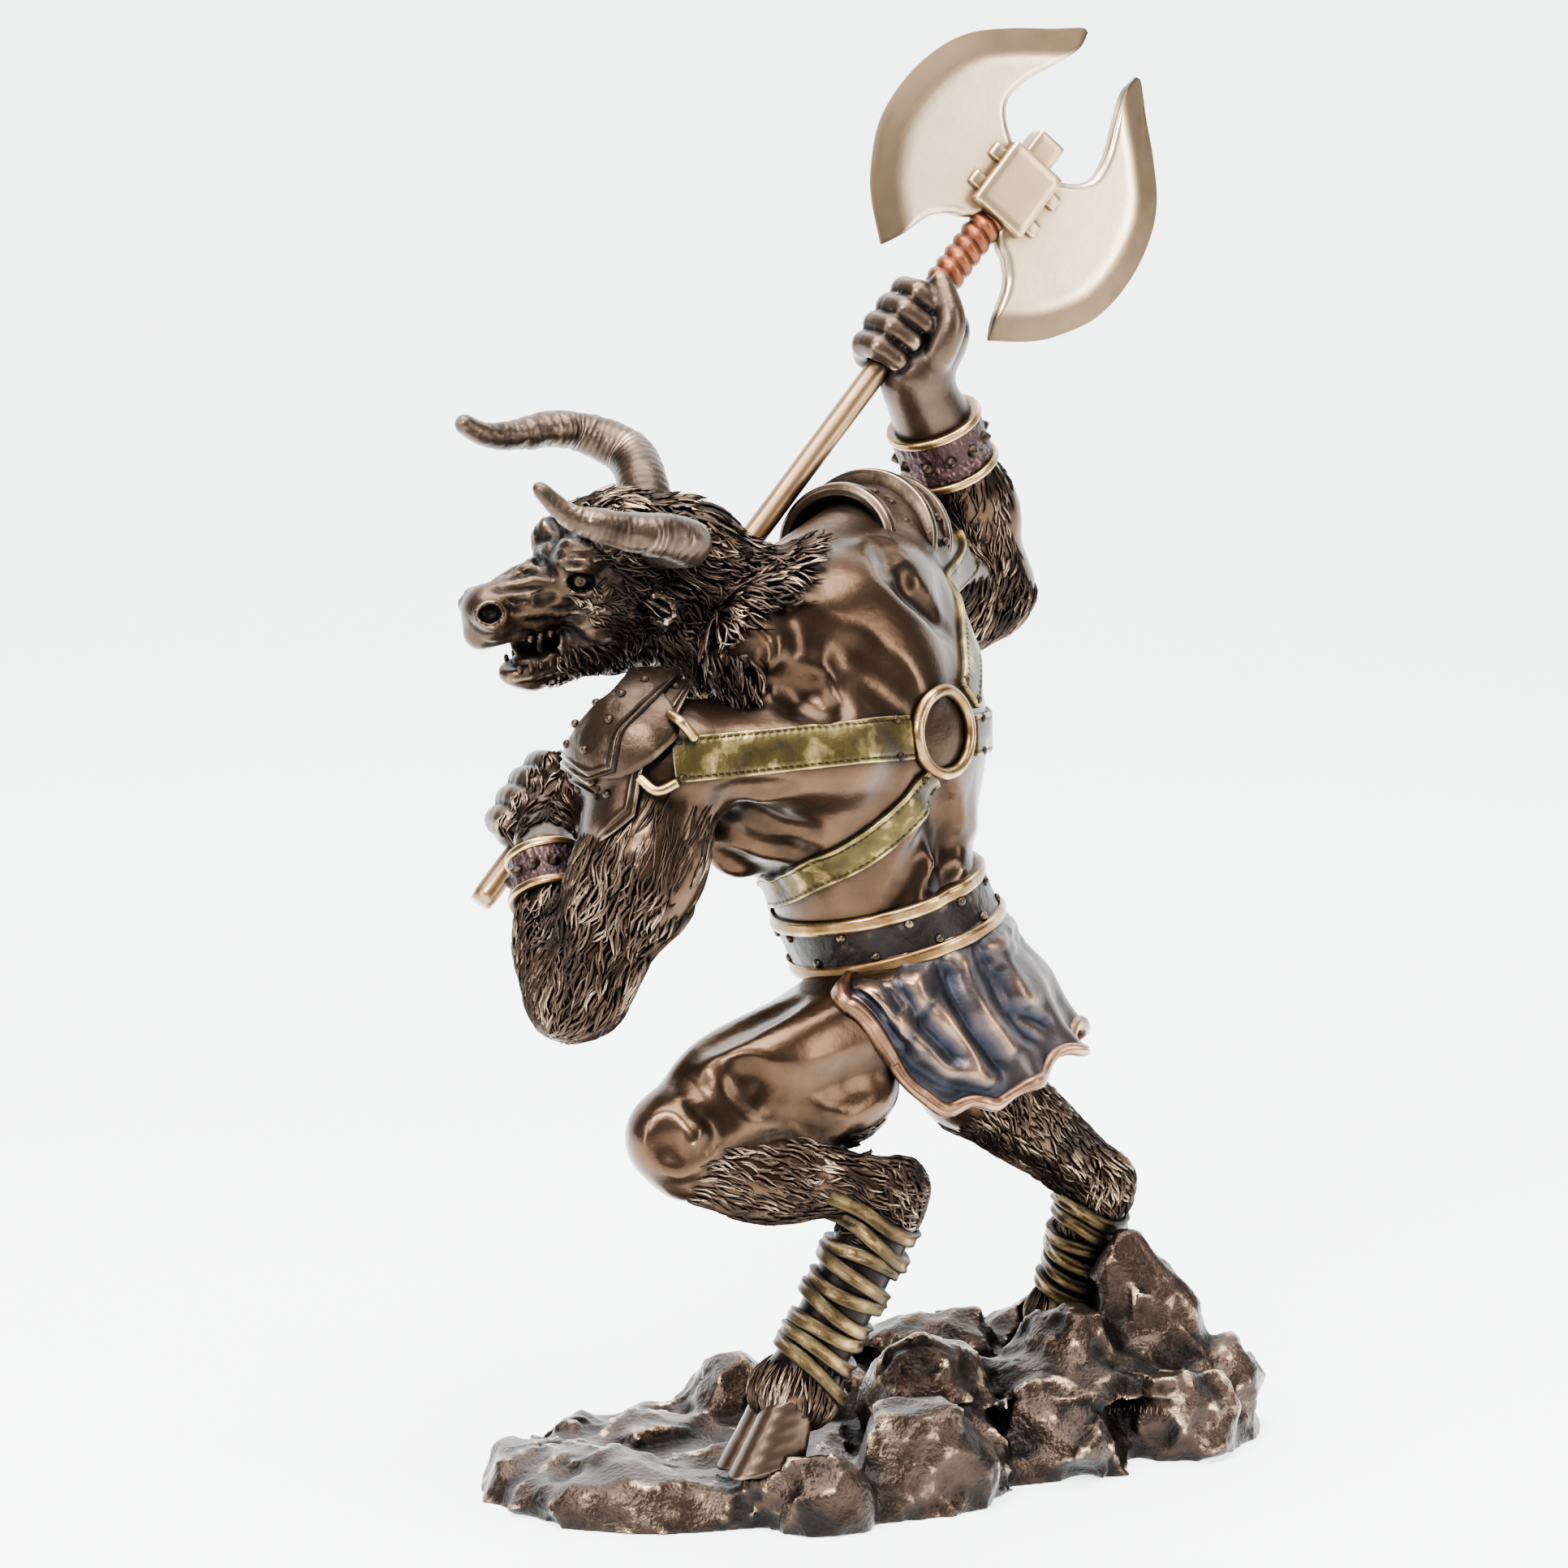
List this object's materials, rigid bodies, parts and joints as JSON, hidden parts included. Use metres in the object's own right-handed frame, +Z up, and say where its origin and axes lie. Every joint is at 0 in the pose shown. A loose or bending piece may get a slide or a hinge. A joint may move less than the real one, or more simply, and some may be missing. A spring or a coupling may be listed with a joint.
{
  "type": "minotaur statue",
  "caption": "Bull-headed warrior striding over a rock, with a double-bladed axe in both fists, in armour straps, a belt and a short kilt, cast in aged bronze finish.",
  "frame": {"origin": "on the ground, under the middle of the rock", "axes": "+Z up, -X the way the figure strides, -Y the figure's left side, which the picture shows"},
  "size_m": [0.1698, 0.132, 0.2974],
  "materials": {
    "rock": "dark brown bronze paint with worn bright edges, satin",
    "figure": "aged bronze paint, dark in the hollows and rubbed bright on the high places, with green, red and copper tints on what is worn",
    "axe": "pale polished bronze paint with browned edges, satin"
  },
  "bodies": {
    "root": {"base": "rock", "minotaur": "figure", "axe": "axe"}
  },
  "joints": []
}
